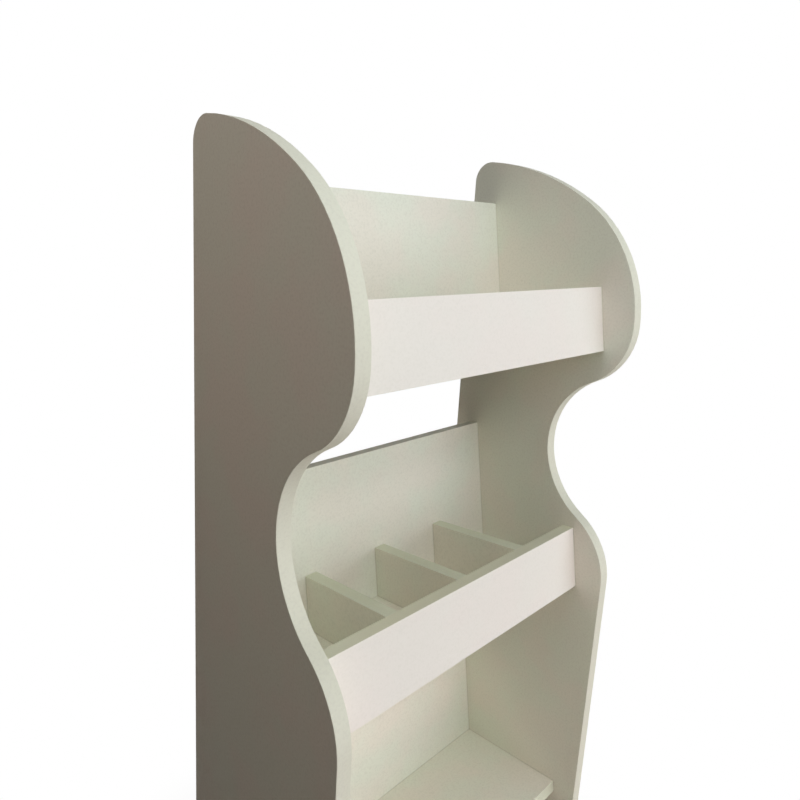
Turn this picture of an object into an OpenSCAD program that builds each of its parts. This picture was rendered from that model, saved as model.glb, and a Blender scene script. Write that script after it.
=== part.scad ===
// Floor-standing display of white painted board: two wavy side panels carry four leaning tiers.
// The two upper tiers are bins with a front lip, the middle one split by three dividers.
// The two lower tiers are open shelves. Front is -Y, the base stands on Z = 0.

/* [Boards] */
// Thickness of every board
board_t = 18; // [15:1:22]
// Clear width between the side panels
clear_w = 468; // [360:1:640]

/* [Tiers] */
// Angle by which the tiers lean back
lean = 9.5; // [6:0.5:13]
// Height from one tier to the next
tier_pitch = 366; // [340:1:400]
// Height of the base tier's floor at its rear corner
base_tier_z = 80; // [60:1:120]
// Distance from the panels' rear edge to the rear corner of a bin's floor
bin_setback = 81; // [72:1:100]
// Distance from the panels' rear edge to the rear corner of an open shelf
shelf_setback = 86; // [72:1:100]
// Clear depth of a bin from its back to its lip
bin_depth = 161; // [130:1:200]
// Height of a back above its tier's floor
back_h = 215; // [180:1:235]
// Height of a lip, and of the dividers, above the bin's floor
lip_h = 73; // [60:1:85]

/* [Side panels] */
// Distance by which the panels stand proud of the lips
front_margin = 39.5; // [25:0.5:60]
// Depth of the waist, measured back from the panels' front edge
waist_cut = 114; // [90:1:125]
// Height of the upper bulge's foremost point above the top tier's floor
bulge_rise = 51; // [35:1:70]
// Height at which the lower curve leaves the upright front edge, above the middle tier's floor
shoulder_rise = 31; // [15:1:45]
// Radius of the bulges above and below the waist
bulge_r = 100; // [80:1:120]
// Radius of the front of the top curve
brow_r = 200; // [170:1:230]
// Angle over which the front of the top curve runs
brow_angle = 58; // [50:1:65]
// Radius of the flatter crown that follows it
crown_r = 375; // [300:1:460]
// Radius of the rear top corner
corner_r = 30; // [15:1:45]

/* [Kick board] */
// Distance from the panels' front edge to the kick board
kick_setback = 60; // [45:1:90]

/* [Dowels] */
// Diameter of the dowels
dowel_d = 8; // [6:1:10]
// Length of the dowels
dowel_l = 40; // [30:1:50]
// Bevel on the dowels' ends
dowel_bevel = 1; // [0.5:0.1:1.5]
// Distance from a board's edge to its nearest dowel
dowel_inset = 22; // [18:1:26]
// Room for glue around a dowel and at its ends
glue_gap = 0.1; // [0.05:0.05:0.2]
// Wood left between a dowel hole and a panel's outer face
blind_wall = 5.5; // [4:0.5:7]

/* [Hidden] */
$fn = 96;

paint = [0.90, 0.89, 0.85];
beech = [0.80, 0.65, 0.44];

// Tiers, counted from the base
base_tier = 0;
lower_tier = 1;
middle_tier = 2;
top_tier = 3;
outer_depth = bin_depth + board_t;
lip_front = bin_setback + outer_depth * cos(lean) + board_t * sin(lean);
panel_depth = lip_front + front_margin;
function tier_y(tier) = panel_depth / 2 - (tier < middle_tier ? shelf_setback : bin_setback);
function tier_z(tier) = base_tier_z + tier * tier_pitch;

// Dividers share the clear width into equal compartments
divider_count = 3;
compartment_w = (clear_w - divider_count * board_t) / (divider_count + 1);
function divider_x(i) = -clear_w / 2 + compartment_w + i * (compartment_w + board_t);

// Side outline: points are [distance forward of the rear edge, height]
shoulder_z = tier_z(middle_tier) + shoulder_rise;
bulge_z = tier_z(top_tier) + bulge_rise;
waist_half_h = (bulge_z - shoulder_z) / 2;
sway = 2 * atan(waist_cut / waist_half_h);
waist_r = waist_half_h / sin(sway) - bulge_r;
shoulder_centre = [panel_depth - bulge_r, shoulder_z];
bulge_centre = [panel_depth - bulge_r, bulge_z];
waist_centre = [panel_depth - waist_cut + waist_r, (bulge_z + shoulder_z) / 2];
brow_centre = [panel_depth - brow_r, bulge_z];
crown_centre = brow_centre - (crown_r - brow_r) * [cos(brow_angle), sin(brow_angle)];
corner_reach = crown_r - corner_r;
corner_centre = [corner_r, crown_centre.y + sqrt(corner_reach ^ 2 - (corner_r - crown_centre.x) ^ 2)];
crown_angle = atan2(corner_centre.y - crown_centre.y, corner_centre.x - crown_centre.x);

// Dowel places on each board's end, as [y, z] in its tier's own leaning frame
back_dowels = [for (z = [dowel_inset - board_t, back_h - dowel_inset]) [board_t / 2, z]];
lip_dowels = [for (z = [dowel_inset - board_t, lip_h - dowel_inset]) [-bin_depth - board_t / 2, z]];
function shelf_dowels(depth) = [for (y = [-dowel_inset, dowel_inset - depth]) [y, -board_t / 2]];
bin_dowels = concat(back_dowels, shelf_dowels(bin_depth), lip_dowels);
open_dowels = concat(back_dowels, shelf_dowels(outer_depth));
dowel_bite = board_t - blind_wall - glue_gap;

// Kick board: an upright strip whose top follows the slope of the base shelf's underside
kick_front = panel_depth - kick_setback;
kick_rear = kick_front - board_t;
function base_underside_z(d) =
    base_tier_z - board_t * cos(lean) + (d - shelf_setback - board_t * sin(lean)) * tan(lean);
kick_dowel_y = panel_depth / 2 - kick_front + board_t / 2;
kick_dowels_at = [for (z = [dowel_inset, base_underside_z(kick_rear) - dowel_inset]) [kick_dowel_y, z]];

// Overlap between the side outline's straight-edged core and its curved edges
sliver_bond = 2;

// Point on a circle of the side outline
function on_circle(centre, r, angle) = centre + r * [cos(angle), sin(angle)];

// Sliver between a chord from a to b and the arc of the given circle beyond it.
// It reaches back over the chord, so that it bonds with the shape on the other side.
module arc_sliver(centre, r, a, b) {
    out = ((a + b) / 2 - centre) / norm((a + b) / 2 - centre);
    intersection() {
        translate(centre) circle(r);
        polygon([a - sliver_bond * out, b - sliver_bond * out, b + r * out, a + r * out]);
    }
}

module side_outline() {
    front_low = [panel_depth, shoulder_z];
    waist_low = on_circle(shoulder_centre, bulge_r, sway);
    waist_high = on_circle(bulge_centre, bulge_r, -sway);
    front_high = [panel_depth, bulge_z];
    brow_end = on_circle(brow_centre, brow_r, brow_angle);
    crown_end = on_circle(corner_centre, corner_r, crown_angle);
    rear_high = [0, corner_centre.y];
    difference() {
        union() {
            polygon([[0, 0], [panel_depth, 0], front_low, waist_low, waist_high,
                front_high, brow_end, crown_end, rear_high]);
            arc_sliver(shoulder_centre, bulge_r, front_low, waist_low);
            arc_sliver(bulge_centre, bulge_r, waist_high, front_high);
            arc_sliver(brow_centre, brow_r, front_high, brow_end);
            arc_sliver(crown_centre, crown_r, brow_end, crown_end);
            arc_sliver(corner_centre, corner_r, crown_end, rear_high);
        }
        arc_sliver(waist_centre, waist_r, waist_low, waist_high);
    }
}

// Stand a side-on outline upright, from x0 over the given width, with forward distances along -Y
module upright(x0, width) {
    translate([x0 + width, panel_depth / 2, 0])
        rotate([90, 0, -90])
            linear_extrude(height = width) children();
}

module on_tier(tier) {
    translate([0, tier_y(tier), tier_z(tier)]) rotate([-lean, 0, 0]) children();
}

// One dowel along +X, starting at the origin, bevelled at both ends
module dowel() {
    r = dowel_d / 2;
    rotate([0, 90, 0])
        rotate_extrude()
            polygon([[0, 0], [r - dowel_bevel, 0], [r, dowel_bevel], [r, dowel_l - dowel_bevel],
                [r - dowel_bevel, dowel_l], [0, dowel_l]]);
}

// Dowels at both ends of the boards
module dowels(places) {
    for (side = [0, 1], place = places)
        mirror([side, 0, 0])
            translate([clear_w / 2 + dowel_bite - dowel_l, place.x, place.y]) dowel();
}

// Matching holes in the boards' ends and the side panels
module dowel_holes(places) {
    for (side = [0, 1], place = places)
        mirror([side, 0, 0])
            translate([clear_w / 2 + dowel_bite - dowel_l - glue_gap, place.x, place.y])
                rotate([0, 90, 0])
                    cylinder(d = dowel_d + 2 * glue_gap, h = dowel_l + 2 * glue_gap);
}

module all_dowel_holes() {
    for (tier = [middle_tier, top_tier]) on_tier(tier) dowel_holes(bin_dowels);
    for (tier = [base_tier, lower_tier]) on_tier(tier) dowel_holes(open_dowels);
    dowel_holes(kick_dowels_at);
}

module side_panel(x0) {
    color(paint) difference() {
        upright(x0, board_t) side_outline();
        all_dowel_holes();
    }
}

// Board across the clear width, given its lowest and highest [y, z] in the tier's frame
module cross_board(low, high, places) {
    color(paint) difference() {
        translate([-clear_w / 2, low.x, low.y]) cube([clear_w, high.x - low.x, high.y - low.y]);
        dowel_holes(places);
    }
}

module tier_back(tier) {
    on_tier(tier) cross_board([0, -board_t], [board_t, back_h], back_dowels);
}

module tier_shelf(tier, depth) {
    on_tier(tier) cross_board([-depth, -board_t], [0, 0], shelf_dowels(depth));
}

module tier_lip(tier) {
    on_tier(tier) cross_board([-outer_depth, -board_t], [-bin_depth, lip_h], lip_dowels);
}

module divider(i) {
    color(paint) on_tier(middle_tier)
        translate([divider_x(i), -bin_depth, 0]) cube([board_t, bin_depth, lip_h]);
}

module kick_board() {
    color(paint) difference() {
        upright(-clear_w / 2, clear_w)
            polygon([[kick_rear, 0], [kick_front, 0], [kick_front, base_underside_z(kick_front)],
                [kick_rear, base_underside_z(kick_rear)]]);
        dowel_holes(kick_dowels_at);
    }
}

module tier_dowels(tier, places) {
    color(beech) on_tier(tier) dowels(places);
}

module kick_dowels() {
    color(beech) dowels(kick_dowels_at);
}

side_panel(-clear_w / 2 - board_t);  // left_side_panel
side_panel(clear_w / 2);  // right_side_panel
tier_back(top_tier);  // top_bin_back
tier_shelf(top_tier, bin_depth);  // top_bin_shelf
tier_lip(top_tier);  // top_bin_lip
tier_back(middle_tier);  // middle_bin_back
tier_shelf(middle_tier, bin_depth);  // middle_bin_shelf
tier_lip(middle_tier);  // middle_bin_lip
divider(0);  // divider_left
divider(1);  // divider_centre
divider(2);  // divider_right
tier_back(lower_tier);  // lower_back
tier_shelf(lower_tier, outer_depth);  // lower_shelf
tier_back(base_tier);  // base_back
tier_shelf(base_tier, outer_depth);  // base_shelf
kick_board();
tier_dowels(top_tier, bin_dowels);  // top_bin_dowels
tier_dowels(middle_tier, bin_dowels);  // middle_bin_dowels
tier_dowels(lower_tier, open_dowels);  // lower_dowels
tier_dowels(base_tier, open_dowels);  // base_dowels
kick_dowels();
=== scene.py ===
"""Looks of the shelf display stand: painted board, soft studio light and the photograph's view."""

import math
from collections import namedtuple

import bpy
from mathutils import Matrix, Vector


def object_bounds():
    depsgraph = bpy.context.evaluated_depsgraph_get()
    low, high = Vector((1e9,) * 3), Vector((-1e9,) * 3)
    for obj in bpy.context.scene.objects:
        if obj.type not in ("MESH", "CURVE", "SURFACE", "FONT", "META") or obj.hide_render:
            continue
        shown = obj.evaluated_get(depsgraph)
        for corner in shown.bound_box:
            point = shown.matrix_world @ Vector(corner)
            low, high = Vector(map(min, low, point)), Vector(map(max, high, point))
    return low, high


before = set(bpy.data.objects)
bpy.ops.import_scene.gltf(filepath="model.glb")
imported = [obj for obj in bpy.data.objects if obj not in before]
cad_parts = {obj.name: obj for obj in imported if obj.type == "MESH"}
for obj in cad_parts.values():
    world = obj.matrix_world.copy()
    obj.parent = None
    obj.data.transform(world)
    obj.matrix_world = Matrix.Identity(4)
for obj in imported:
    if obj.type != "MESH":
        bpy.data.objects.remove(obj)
cad_low, cad_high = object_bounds()

# Camera: where the photograph was taken from, in the part's frame
CAMERA_PLACE = Vector((-0.5701, -0.5358, 1.3522))
CAMERA_YAW = math.radians(43.61)
CAMERA_PITCH = math.radians(10.73)
CAMERA_ROLL = math.radians(3.33)
CAMERA_NEAREST = 0.02
IMAGE_SIZE = 800
FOCAL_PIXELS = 620.4
CENTRE_ROW = 339.9
SENSOR_WIDTH = 36.0

# Paint by kind of board, with painted light on the lips and painted shade on the backs' edges: tones in
# linear light, the flecks' share and the width of the eased corners
Paint = namedtuple("Paint", "warm cool edge flecks arris")
BOARD_PAINT = Paint(
    warm=(0.905, 0.859, 0.751),
    cool=(0.876, 0.885, 0.761),
    edge=(0.7, 0.722, 0.567),
    flecks=0.22,
    arris=0.0003,
)
# Lips: a pinker copy of the board paint, painted light that gives their brightly lit fronts a highlight's
# tint; a lighter, less green edge and fainter flecks
LIP_HIGHLIGHT_PAINT = BOARD_PAINT._replace(
    warm=(0.912, 0.859, 0.787),
    cool=(0.901, 0.867, 0.79),
    edge=(0.735, 0.73, 0.57),
    flecks=0.11,
)
PANEL_PAINT = BOARD_PAINT._replace(edge=(0.79, 0.785, 0.65), arris=0.0006)
# Backs: their edges darker, painted shade standing for the shade that the bin above casts on the middle
# back's top edge
BACK_SHADED_EDGE_PAINT = BOARD_PAINT._replace(edge=(0.62, 0.61, 0.52))
PAINT_BY_ENDING = {"side_panel": PANEL_PAINT, "back": BACK_SHADED_EDGE_PAINT, "lip": LIP_HIGHLIGHT_PAINT}
FLECK_TONE = (0.62, 0.6, 0.5)
# Painted shade: the tone that the corners where boards meet darken towards
CREASE_SHADE_TONE = (0.74, 0.72, 0.6)
PAINT_ROUGHNESS = (0.6, 0.72)
PAINT_SPECULAR = 0.12

# Paint pattern: sizes in metres, the stretch of the noise over which each comes in, and the relief
PATTERN_DETAIL = 3.0
CLOUD_SIZE = 0.09
CLOUD_RANGE = (0.35, 0.65)
FLECK_SIZE = 0.003
FLECK_RANGE = (0.4, 0.75)
STIPPLE_SIZE = 0.012
STIPPLE_RANGE = (0.3, 0.7)
STIPPLE_WEIGHT = 1.5
PEEL_SIZE = 0.0016
BUMP_STRENGTH = 0.12
BUMP_HEIGHT = 0.0004

# Duller places: how squarely a surface looks, from face to edge, and painted shade by how open it lies,
# from face to corner
EDGE_RANGE = (0.95, 0.6)
CREASE_SHADE_RANGE = (0.9, 0.4)
CREASE_SHADE_REACH = 0.003

# Two faces of a board look the same way when their directions agree to so many digits
DIRECTION_DIGITS = 2

# Beech of the dowels, with the grain drawn out along X
BEECH_DARK = (0.42, 0.25, 0.13)
BEECH_PALE = (0.6, 0.4, 0.22)
BEECH_ROUGHNESS = (0.55, 0.7)
GRAIN_SIZE = 0.0012
GRAIN_STRETCH = (0.06, 1.0, 1.0)
GRAIN_DETAIL = 4.0
GRAIN_COARSENESS = 0.6
GRAIN_RANGE = (0.3, 0.7)

# Eased corners: their steps, what counts as a corner, as flat and as one point, and the wide faces' weight
ARRIS_STEPS = 3
SHARP_ANGLE = math.radians(40)
FLAT_ANGLE = math.radians(0.1)
WELD_DISTANCE = 0.00001
WIDE_FACE_WEIGHT = 100

# Lamps: place, width, height, watts and colour of each soft box, all aimed at one point
LAMP_TARGET = (0.0, 0.0, 1.0)
COOL_LIGHT = (0.933, 0.965, 1.0)
WARM_LIGHT = (1.0, 0.846, 0.842)
AMBER_LIGHT = (1.0, 0.6, 0.35)
PLAIN_LIGHT = (1.0, 1.0, 1.0)
LAMPS = {
    "front_low": ((0.5, -2.6, 1.1), 1.6, 1.6, 15.6, COOL_LIGHT),
    "front_right": ((1.9, -2.2, 1.3), 1.4, 1.6, 19.4, COOL_LIGHT),
    "front_high": ((0.1, -1.9, 2.8), 2.0, 1.2, 8.8, COOL_LIGHT),
    "front_left": ((-0.25, -1.2, 2.1), 0.8, 0.8, 5.95, COOL_LIGHT),
    "floor_front": ((0.1, -1.2, 0.1), 1.0, 0.6, 6.5, WARM_LIGHT),
    "overhead": ((0.0, -0.4, 3.2), 2.0, 1.6, 5.6, COOL_LIGHT),
    "left_high": ((-1.0, -0.2, 2.5), 0.8, 0.8, 4.3, COOL_LIGHT),
    "left_close": ((-1.2, 0.1, 1.6), 0.6, 0.5, 0.95, AMBER_LIGHT),
    "behind": ((1.6, 2.4, 0.6), 2.0, 1.0, 45.0, PLAIN_LIGHT),
}

# Stage: the floor disc, the white round it and the weak light of the room
FLOOR_RADIUS = 2.6
FLOOR_DROP = 0.0003
FLOOR_SIDES = 128
FLOOR_TONE = (0.9, 0.9, 0.9)
FLOOR_BOUNCE = (0.17, 0.15, 0.115)
FLOOR_FADE = (0.3, 0.75)
FLOOR_WHITENESS = (0.7, 1.0)
WHITE = (1.0, 1.0, 1.0, 1.0)
ROOM_TINT = (1.0, 0.96, 0.92, 1.0)
ROOM_STRENGTH = 0.008


def aim_matrix(place, forward, roll=0.0):
    """The place and turn of a camera or lamp that looks along forward."""
    right = Vector((forward.y, -forward.x, 0.0)).normalized()
    up = right.cross(forward).normalized()
    turned_right = right * math.cos(roll) + up * math.sin(roll)
    turned_up = up * math.cos(roll) - right * math.sin(roll)
    axes = Matrix((turned_right, turned_up, -forward)).transposed()
    return Matrix.Translation(place) @ axes.to_4x4()


def make_camera():
    """The photograph's view: a wide lens close by, on the stand's left, turned to it and tipped down."""
    lens = bpy.data.cameras.new("camera")
    lens.sensor_width = SENSOR_WIDTH
    lens.lens = FOCAL_PIXELS * SENSOR_WIDTH / IMAGE_SIZE
    lens.shift_y = (CENTRE_ROW - IMAGE_SIZE / 2) / IMAGE_SIZE
    lens.clip_start = CAMERA_NEAREST
    camera = bpy.data.objects.new("camera", lens)
    level = math.cos(CAMERA_PITCH)
    forward = Vector((math.sin(CAMERA_YAW) * level, math.cos(CAMERA_YAW) * level, -math.sin(CAMERA_PITCH)))
    camera.matrix_world = aim_matrix(CAMERA_PLACE, forward, CAMERA_ROLL)
    bpy.context.scene.collection.objects.link(camera)
    bpy.context.scene.camera = camera


def make_lamp(name, place, target, width, height, watts, colour):
    """One soft box that faces target."""
    light = bpy.data.lights.new(name, "AREA")
    light.shape = "RECTANGLE"
    light.size = width
    light.size_y = height
    light.energy = watts
    light.color = colour
    lamp = bpy.data.objects.new(name, light)
    lamp.matrix_world = aim_matrix(place, (target - place).normalized())
    lamp.visible_camera = False
    bpy.context.scene.collection.objects.link(lamp)


def make_lamps():
    """Cool boxes in front, above and left, a warm one low, an amber one left and a plain one behind."""
    for name, (place, width, height, watts, colour) in LAMPS.items():
        make_lamp(name, Vector(place), Vector(LAMP_TARGET), width, height, watts, colour)


class Nodes:
    """A short way to add and join the shader nodes of one tree."""

    def __init__(self, tree):
        self.tree = tree
        tree.nodes.clear()

    def add(self, kind, **values):
        """A new node with these values set on it."""
        node = self.tree.nodes.new(kind)
        for name, value in values.items():
            setattr(node, name, value)
        return node

    def join(self, source, target):
        """A link from one socket to another."""
        self.tree.links.new(source, target)

    def noise(self, place, size, detail=2.0, coarseness=0.5):
        """Noise whose lumps are about size metres across."""
        node = self.add("ShaderNodeTexNoise")
        node.inputs["Scale"].default_value = 1.0 / size
        node.inputs["Detail"].default_value = detail
        node.inputs["Roughness"].default_value = coarseness
        self.join(place, node.inputs["Vector"])
        return node.outputs["Fac"]

    def spread(self, value, source, target=(0.0, 1.0)):
        """Maps the range source to the range target, smoothly and held at both ends."""
        node = self.add("ShaderNodeMapRange", interpolation_type="SMOOTHSTEP")
        for name, limit in zip(("From Min", "From Max", "To Min", "To Max"), (*source, *target)):
            node.inputs[name].default_value = limit
        self.join(value, node.inputs["Value"])
        return node.outputs["Result"]

    def blend(self, share, first, second):
        """A colour between first and second."""
        node = self.add("ShaderNodeMix", data_type="RGBA")
        self.join(share, node.inputs["Factor"])
        for socket, value in zip((node.inputs["A"], node.inputs["B"]), (first, second)):
            if isinstance(value, tuple):
                socket.default_value = (*value, 1.0)
            else:
                self.join(value, socket)
        return node.outputs["Result"]

    def math(self, operation, first, second=0.0):
        """One step of arithmetic on two sockets, or on a socket and a number."""
        node = self.add("ShaderNodeMath", operation=operation)
        for socket, value in zip(node.inputs, (first, second)):
            if isinstance(value, (int, float)):
                socket.default_value = value
            else:
                self.join(value, socket)
        return node.outputs["Value"]

    def mix(self, share, first, second):
        """A shader between first and second."""
        node = self.add("ShaderNodeMixShader")
        for socket, value in zip(node.inputs, (share, first, second)):
            self.join(value, socket)
        return node.outputs["Shader"]

    def output(self, surface, kind="ShaderNodeOutputMaterial"):
        """Ends the tree in its output node."""
        self.join(surface, self.add(kind).inputs["Surface"])


def new_material(name):
    """An empty material and its nodes."""
    material = bpy.data.materials.new(name)
    material.use_nodes = True
    return material, Nodes(material.node_tree)


def broad_direction(board):
    """The direction that a board's two broad faces look in."""
    areas = {}
    for face in board.data.polygons:
        key = tuple(round(abs(value), DIRECTION_DIGITS) for value in face.normal)
        area, normal = areas.get(key, (0.0, face.normal))
        areas[key] = (area + face.area, normal)
    return max(areas.values(), key=lambda entry: entry[0])[1].copy()


def edge_share(nodes, broad):
    """1 on a board's narrow edges and 0 on its broad faces."""
    normal = nodes.add("ShaderNodeNewGeometry").outputs["Normal"]
    facing = nodes.add("ShaderNodeVectorMath", operation="DOT_PRODUCT")
    facing.inputs[1].default_value = broad
    nodes.join(normal, facing.inputs[0])
    return nodes.spread(nodes.math("ABSOLUTE", facing.outputs["Value"]), EDGE_RANGE)


def crease_shade_share(nodes):
    """Painted shade: 1 in the corner where two boards meet, and 0 away from it."""
    corner = nodes.add("ShaderNodeAmbientOcclusion")
    corner.inputs["Distance"].default_value = CREASE_SHADE_REACH
    return nodes.spread(corner.outputs["AO"], CREASE_SHADE_RANGE)


def paint_colour(nodes, place, broad, paint):
    """Warm and cool clouds on the faces, duller edges, flecks over both and dark joint lines of painted
    shade in the corners.
    """
    clouds = nodes.spread(nodes.noise(place, CLOUD_SIZE, PATTERN_DETAIL), CLOUD_RANGE)
    faces = nodes.blend(clouds, paint.warm, paint.cool)
    edged = nodes.blend(edge_share(nodes, broad), faces, paint.edge)
    flecks = nodes.spread(nodes.noise(place, FLECK_SIZE, PATTERN_DETAIL), FLECK_RANGE, (0.0, paint.flecks))
    flecked = nodes.blend(flecks, edged, FLECK_TONE)
    # Painted shade darkens the corners where boards meet
    return nodes.blend(crease_shade_share(nodes), flecked, CREASE_SHADE_TONE)


def paint_relief(nodes, place, stipple):
    """The roller's stipple with a fine peel over it."""
    peel = nodes.noise(place, PEEL_SIZE)
    height = nodes.math("ADD", peel, nodes.math("MULTIPLY", stipple, STIPPLE_WEIGHT))
    bump = nodes.add("ShaderNodeBump")
    bump.inputs["Strength"].default_value = BUMP_STRENGTH
    bump.inputs["Distance"].default_value = BUMP_HEIGHT
    nodes.join(height, bump.inputs["Height"])
    return bump.outputs["Normal"]


def paint_material(name, broad, paint):
    """Matt white paint, rolled on."""
    material, nodes = new_material(name)
    place = nodes.add("ShaderNodeTexCoord").outputs["Object"]
    stipple = nodes.noise(place, STIPPLE_SIZE)
    shader = nodes.add("ShaderNodeBsdfPrincipled")
    shader.inputs["Specular IOR Level"].default_value = PAINT_SPECULAR
    nodes.join(paint_colour(nodes, place, broad, paint), shader.inputs["Base Color"])
    nodes.join(nodes.spread(stipple, STIPPLE_RANGE, PAINT_ROUGHNESS), shader.inputs["Roughness"])
    nodes.join(paint_relief(nodes, place, stipple), shader.inputs["Normal"])
    nodes.output(shader.outputs["BSDF"])
    return material


def beech_material():
    """Bare turned beech with its grain along the dowel."""
    material, nodes = new_material("beech")
    stretch = nodes.add("ShaderNodeMapping")
    stretch.inputs["Scale"].default_value = GRAIN_STRETCH
    nodes.join(nodes.add("ShaderNodeTexCoord").outputs["Object"], stretch.inputs["Vector"])
    fibres = nodes.noise(stretch.outputs["Vector"], GRAIN_SIZE, GRAIN_DETAIL, GRAIN_COARSENESS)
    grain = nodes.spread(fibres, GRAIN_RANGE)
    shader = nodes.add("ShaderNodeBsdfPrincipled")
    nodes.join(nodes.blend(grain, BEECH_DARK, BEECH_PALE), shader.inputs["Base Color"])
    nodes.join(nodes.spread(grain, (0.0, 1.0), BEECH_ROUGHNESS), shader.inputs["Roughness"])
    nodes.output(shader.outputs["BSDF"])
    return material


def ease_edges(board, width):
    """Rounds a board's sharp corners by width, as sanding before painting does."""
    weld = board.modifiers.new("weld", "WELD")
    weld.merge_threshold = WELD_DISTANCE
    flats = board.modifiers.new("flats", "DECIMATE")
    flats.decimate_type = "DISSOLVE"
    flats.angle_limit = FLAT_ANGLE
    arris = board.modifiers.new("arris", "BEVEL")
    arris.width = width
    arris.segments = ARRIS_STEPS
    arris.limit_method = "ANGLE"
    arris.angle_limit = SHARP_ANGLE
    arris.use_clamp_overlap = False
    smooth = board.modifiers.new("smooth", "WEIGHTED_NORMAL")
    smooth.weight = WIDE_FACE_WEIGHT


def dress(node, material):
    """Gives a CAD node one material."""
    node.data.materials.clear()
    node.data.materials.append(material)


def paint_board(name, board):
    """Paints one board as the end of its name says, and eases its corners."""
    paint = next((kind for ending, kind in PAINT_BY_ENDING.items() if name.endswith(ending)), BOARD_PAINT)
    dress(board, paint_material(f"paint_{name}", broad_direction(board), paint))
    ease_edges(board, paint.arris)


def dress_stand():
    """Paints the boards, eases their edges and gives the dowels their wood."""
    beech = beech_material()
    for name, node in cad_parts.items():
        if name.endswith("dowels"):
            dress(node, beech)
        else:
            paint_board(name, node)


def white_to_eye(nodes):
    """1 for rays that show the background: from the camera, a gloss or a glass."""
    path = nodes.add("ShaderNodeLightPath").outputs
    seen = nodes.math("MAXIMUM", path["Is Camera Ray"], path["Is Glossy Ray"])
    return nodes.math("MAXIMUM", seen, path["Is Transmission Ray"])


def floor_material():
    """Pale to the eye near the stand and white further out, and a weak warm bounce to the stand."""
    material, nodes = new_material("floor")
    eye = white_to_eye(nodes)
    matt = nodes.add("ShaderNodeBsdfDiffuse")
    nodes.join(nodes.blend(eye, FLOOR_BOUNCE, FLOOR_TONE), matt.inputs["Color"])
    glow = nodes.add("ShaderNodeEmission")
    span = nodes.add("ShaderNodeVectorMath", operation="LENGTH")
    nodes.join(nodes.add("ShaderNodeTexCoord").outputs["Object"], span.inputs[0])
    whiteness = nodes.spread(span.outputs["Value"], FLOOR_FADE, FLOOR_WHITENESS)
    share = nodes.math("MULTIPLY", eye, whiteness)
    nodes.output(nodes.mix(share, matt.outputs["BSDF"], glow.outputs["Emission"]))
    return material


def make_floor():
    """A pale floor that keeps the stand's shadow and fades to the white round it."""
    mesh = bpy.data.meshes.new("floor")
    turn = 2 * math.pi / FLOOR_SIDES
    height = cad_low.z - FLOOR_DROP
    rim = [(FLOOR_RADIUS * math.cos(turn * i), FLOOR_RADIUS * math.sin(turn * i), height)
           for i in range(FLOOR_SIDES)]
    mesh.from_pydata(rim, [], [range(FLOOR_SIDES)])
    mesh.materials.append(floor_material())
    floor = bpy.data.objects.new("floor", mesh)
    bpy.context.scene.collection.objects.link(floor)


def make_world():
    """White to the eye, and a weak even light to the stand."""
    world = bpy.data.worlds.new("world")
    bpy.context.scene.world = world
    world.use_nodes = True
    nodes = Nodes(world.node_tree)
    room = nodes.add("ShaderNodeBackground")
    room.inputs["Color"].default_value = ROOM_TINT
    room.inputs["Strength"].default_value = ROOM_STRENGTH
    white = nodes.add("ShaderNodeBackground")
    white.inputs["Color"].default_value = WHITE
    shown = nodes.mix(white_to_eye(nodes), room.outputs["Background"], white.outputs["Background"])
    nodes.output(shown, "ShaderNodeOutputWorld")


make_camera()
dress_stand()
make_floor()
make_world()
make_lamps()
bpy.context.scene.view_settings.view_transform = "Standard"
